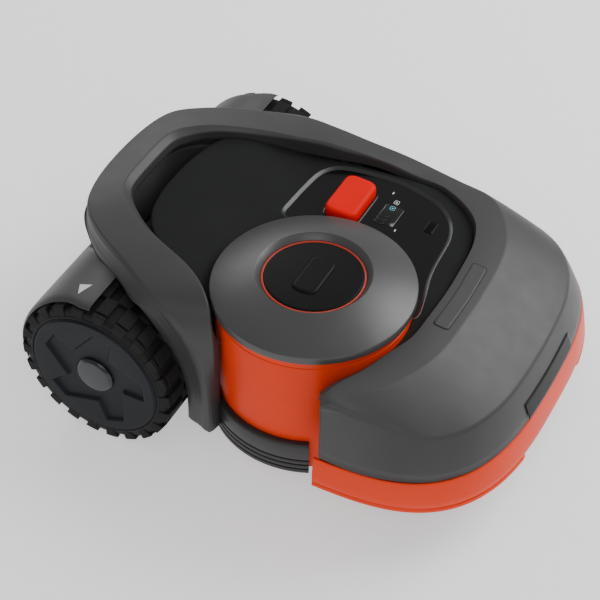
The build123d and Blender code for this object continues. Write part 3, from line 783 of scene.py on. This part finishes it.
def fender(side):
    rows = []
    for k in range(91):
        a = math.radians(-0.4 + 103.5 * k / 90)
        x = AXLE[0] - math.sin(a) * 117.4
        y0 = float(np.interp(x, OUTLINE_X, OUTLINE_Y)) - 3.0
        y1 = fender_rim(max(a, 0.0))
        lobe = 5.5 * math.exp(-((k - 2) / 9.0) ** 2)
        row = []
        for low, y in ((117.3, y0), (117.4, y0 * 0.66 + y1 * 0.34), (117.4, y0 * 0.33 + y1 * 0.67),
                       (117.3, y1 - 14), (116.8, y1 - 8), (115.6, y1 - 3.6), (113.6, y1 - 1.0), (112.6, y1)):
            out = min(y + lobe * (y - y0) / (y1 - y0), 248)
            row.append((AXLE[0] - math.sin(a) * low, out, AXLE[2] + math.cos(a) * low))
        rows += row
    obj = make("fender_%s" % ("left" if side > 0 else "right"), [(x, y * side, z) for x, y, z in rows],
               grid_faces(91, 8), 50, flip=side < 0)
    smoothing = obj.modifiers.new("round", "SUBSURF")
    smoothing.levels = smoothing.render_levels = 2
    smoothing.boundary_smooth = "PRESERVE_CORNERS"
    solidify(obj, 1.6)
    name = "left_fender" if side > 0 else "right_fender"
    obj.name = name + "_skin"
    return finish_piece(obj, "chassis", "shell_grey", name)


for side in (1, -1):
    fender(side)
    tri = []
    for x, y in ((-245, 212), (-228, 209), (-236, 230)):
        up = math.sqrt(117.75**2 - (x - AXLE[0]) ** 2)
        tri.append((x, y * side, AXLE[2] + up))
    if side < 0:
        finish_piece(make("fender_mark", tri, [(0, 1, 2)]), "chassis", "icon_white")


# ---------------------------------------------------------------- wheels
def wheel_point(r, a, y):
    return (AXLE[0] + r * math.cos(a), y, AXLE[2] + r * math.sin(a))


def block(r0, r1, a0, a1, a2, a3, y0, y1, y2, y3, steps=4):
    """A tyre lug: base r0 between a0..a1 and y0..y1, crown r1 between a2..a3 and y2..y3."""
    verts, faces = [], []
    for k in range(steps + 1):
        t = k / steps
        verts += [wheel_point(r0, a0 + (a1 - a0) * t, y0), wheel_point(r0, a0 + (a1 - a0) * t, y1),
                  wheel_point(r1, a2 + (a3 - a2) * t, y3), wheel_point(r1, a2 + (a3 - a2) * t, y2)]
    for k in range(steps):
        for j in range(4):
            a, b = k * 4 + j, k * 4 + (j + 1) % 4
            faces.append((a, b, b + 4, a + 4))
    faces.append((0, 1, 2, 3))
    n = steps * 4
    faces.append((n + 3, n + 2, n + 1, n))
    return verts, faces


def tyre(side):
    verts, faces = [], []
    half = math.radians(360 / 22) * 0.35

    def add(piece):
        n = len(verts)
        verts.extend(piece[0])
        faces.extend(tuple(i + n for i in f) for f in piece[1])

    for k in range(22):
        mid = math.radians(94.25 + 360 * k / 22) + 0.074
        off = mid + math.pi / 22
        for centre, inner, edge, outer in ((mid, 214, 243, 251.4), (off, 215.5, 186, 177.8)):
            add(block(102.5, TYRE_R - 0.1, centre - half, centre + half, centre - half * 0.8,
                      centre + half * 0.8, min(inner, edge), max(inner, edge), min(inner, edge) + 0.6,
                      max(inner, edge) - 0.6))
            low, high = min(edge, outer), max(edge, outer)
            add(block(96.2, TYRE_R - 1.2, centre - half * 0.62, centre + half * 0.62, centre - half * 0.84,
                      centre + half * 0.84, low, high, low + 1.2, high - 1.2))
    lugs = make("tyre_lugs", [(x, y * side, z) for x, y, z in verts], faces, 30, closed=True)
    carcass = revolve("tyre_body", [(r, y * side) for r, y in (
        (92.1, 249.6), (92.3, 251.4), (93.2, 251.9), (95.4, 251.9), (96.4, 251.3), (97.0, 250.4),
        (102.6, 249.6), (105.8, 247.0), (106.9, 241), (107.1, 214), (106.9, 188), (105.8, 182), (102.6, 179),
        (97, 178), (94, 177.3), (92.1, 179.4))],
        AXLE, "y", 300, closed=True)
    bare = len(carcass.data.polygons)
    bm = bmesh.new()
    bm.from_mesh(carcass.data)
    bm.from_mesh(lugs.data)
    bm.to_mesh(carcass.data)
    bm.free()
    bpy.data.objects.remove(lugs)
    for face in carcass.data.polygons:
        face.use_smooth = True
    carcass.data.set_sharp_from_angle(angle=math.radians(32))
    bevel(carcass, 0.8, 2, 40)
    name = "left" if side > 0 else "right"
    carcass.name = name + "_tyre_skin"
    finish_piece(carcass, name + "_wheel", "tyre_rubber", name + "_tyre")
    carcass.data.materials.append(MATS["tyre_wall"])
    for face in carcass.data.polygons[:bare]:
        face.material_index = 1
    return carcass


STAR = []
for k in range(5):
    for r, a in ((75, 86), (75, 65), (44, 58)):
        turn = math.radians(a - 72 * k)
        STAR.append((r * math.cos(turn), r * math.sin(turn)))
STAR = np.array(STAR)


def star_gap(points):
    """Signed distance of (x, z) points to the rim's pinwheel star: positive inside it."""
    best = np.full(len(points), 1e9)
    inside = np.zeros(len(points), bool)
    for k in range(len(STAR)):
        p, q = STAR[k], STAR[(k + 1) % len(STAR)]
        along = q - p
        t = np.clip(((points - p) @ along) / (along @ along), 0, 1)
        best = np.minimum(best, np.linalg.norm(points - p - t[:, None] * along, axis=1))
        crosses = (p[1] > points[:, 1]) != (q[1] > points[:, 1])
        with np.errstate(divide="ignore", invalid="ignore"):
            at = (q[0] - p[0]) * (points[:, 1] - p[1]) / (q[1] - p[1]) + p[0]
        inside ^= crosses & (points[:, 0] < at)
    return np.where(inside, best, -best)


def rim_depth(r, a):
    """How far the rim's face stands out at radii r along angle a."""
    gap = star_gap(np.stack([r * math.cos(a), r * math.sin(a)], axis=1))
    level = 252.8 + 1.2 * smooth((r - 30) / 50) - 4.6 * smooth((gap + 1.6) / 4.6)
    return level - 2.6 * smooth((r - 89.2) / 2.7)


def rim(side):
    radii = np.concatenate([np.linspace(24, 78, 62), np.linspace(80, 88.4, 5), np.linspace(89.2, 91.9, 6)])
    count = 540
    verts = []
    for i in range(count):
        a = 2 * math.pi * i / count
        verts += [wheel_point(r, a, y * side) for r, y in zip(radii, rim_depth(radii, a))]
        verts.append(wheel_point(91.9, a, 180 * side))
        verts.append(wheel_point(88.5, a, 180 * side))
        verts.append(wheel_point(88.5, a, 239 * side))
        verts.append(wheel_point(24, a, 239 * side))
    rim_faces = grid_faces(count, len(radii) + 4, wrap_rows=True, wrap_cols=True)
    obj = make("rim", verts, rim_faces, 45, closed=True)
    hub = revolve("hub", [(6.1, 206 * side), (23.9, 206 * side), (23.9, 240 * side), (6.1, 240 * side)],
                  AXLE, "y", 64)
    bm = bmesh.new()
    bm.from_mesh(obj.data)
    bm.from_mesh(hub.data)
    bm.to_mesh(obj.data)
    bm.free()
    bpy.data.objects.remove(hub)
    for face in obj.data.polygons:
        face.use_smooth = True
    obj.data.set_sharp_from_angle(angle=math.radians(45))
    name = "left" if side > 0 else "right"
    obj.name = name + "_rim_skin"
    finish_piece(obj, name + "_wheel", "rim_slate", name + "_rim")
    cap = revolve(name + "_hub_cap_skin", [(r, y * side) for r, y in (
        (0.01, 247), (26.6, 247), (27, 250.6), (26.7, 251.2), (23.6, 254.0), (22.8, 254.3), (22, 254.4),
        (0.01, 254.4))], AXLE, "y", 160)
    finish_piece(cap, name + "_wheel", "cap_slate", name + "_hub_cap")


for side in (1, -1):
    tyre(side)
    rim(side)

# ---------------------------------------------------------------- CAD nodes that are shown as they are
for name in ("lower_chassis", "front_tray", "left_caster_fork", "right_caster_fork",
             "carriage", "blade_plate", "skid_plate", "battery_cover", "stop_switch"):
    bevel(frame["nodes"][name], 0.5, 2, 40)

# ---------------------------------------------------------------- stage
floor_mesh = bpy.data.meshes.new("floor")
floor_mesh.from_pydata([(-30, -30, 0), (30, -30, 0), (30, 30, 0), (-30, 30, 0)], [], [(0, 1, 2, 3)])
floor = bpy.data.objects.new("floor", floor_mesh)
bpy.context.scene.collection.objects.link(floor)
pale = material("floor_pale", (0.9, 0.9, 0.9), 0.75, vary=0.01, patch=2.0, grain=60, bump=0.01,
                wear_colour=(0.88, 0.88, 0.88))
pale.node_tree.nodes["Principled BSDF"].inputs["Emission Color"].default_value = (1, 1, 1, 1)
pale.node_tree.nodes["Principled BSDF"].inputs["Emission Strength"].default_value = 0.6
floor_mesh.materials.append(pale)

world = bpy.data.worlds.new("studio")
world.use_nodes = True
world.node_tree.nodes["Background"].inputs["Color"].default_value = (1, 1, 1, 1)
world.node_tree.nodes["Background"].inputs["Strength"].default_value = 0.45
bpy.context.scene.world = world


def area(name, place, target, size, power):
    light = bpy.data.lights.new(name, "AREA")
    light.shape = "RECTANGLE"
    light.size, light.size_y = size
    light.energy = power
    obj = bpy.data.objects.new(name, light)
    bpy.context.scene.collection.objects.link(obj)
    obj.location = place
    obj.rotation_euler = (Vector(target) - Vector(place)).to_track_quat("-Z", "Y").to_euler()
    return obj


area("key", (1.3, 1.7, 2.0), (0, 0, 0.1), (1.8, 1.8), 62)
area("fill", (0.9, -2.0, 2.0), (0, 0, 0.1), (2.0, 1.4), 16)
area("back", (-1.8, 1.6, 1.6), (0, 0, 0.15), (1.6, 0.8), 14)

back = Vector((0.33448, -0.63949, 0.69223)).normalized()
right = Vector((0.88611, 0.46348, 0)).normalized()
up = back.cross(right).normalized()
camera_data = bpy.data.cameras.new("camera")
camera_data.lens = 102.5
camera_data.sensor_width = 36
camera = bpy.data.objects.new("camera", camera_data)
bpy.context.scene.collection.objects.link(camera)
turn = Matrix((right, up, back)).transposed().to_4x4()
camera.matrix_world = Matrix.Translation((0.7251, -1.4697, 1.6967)) @ turn
camera_data.clip_end = 100
bpy.context.scene.camera = camera
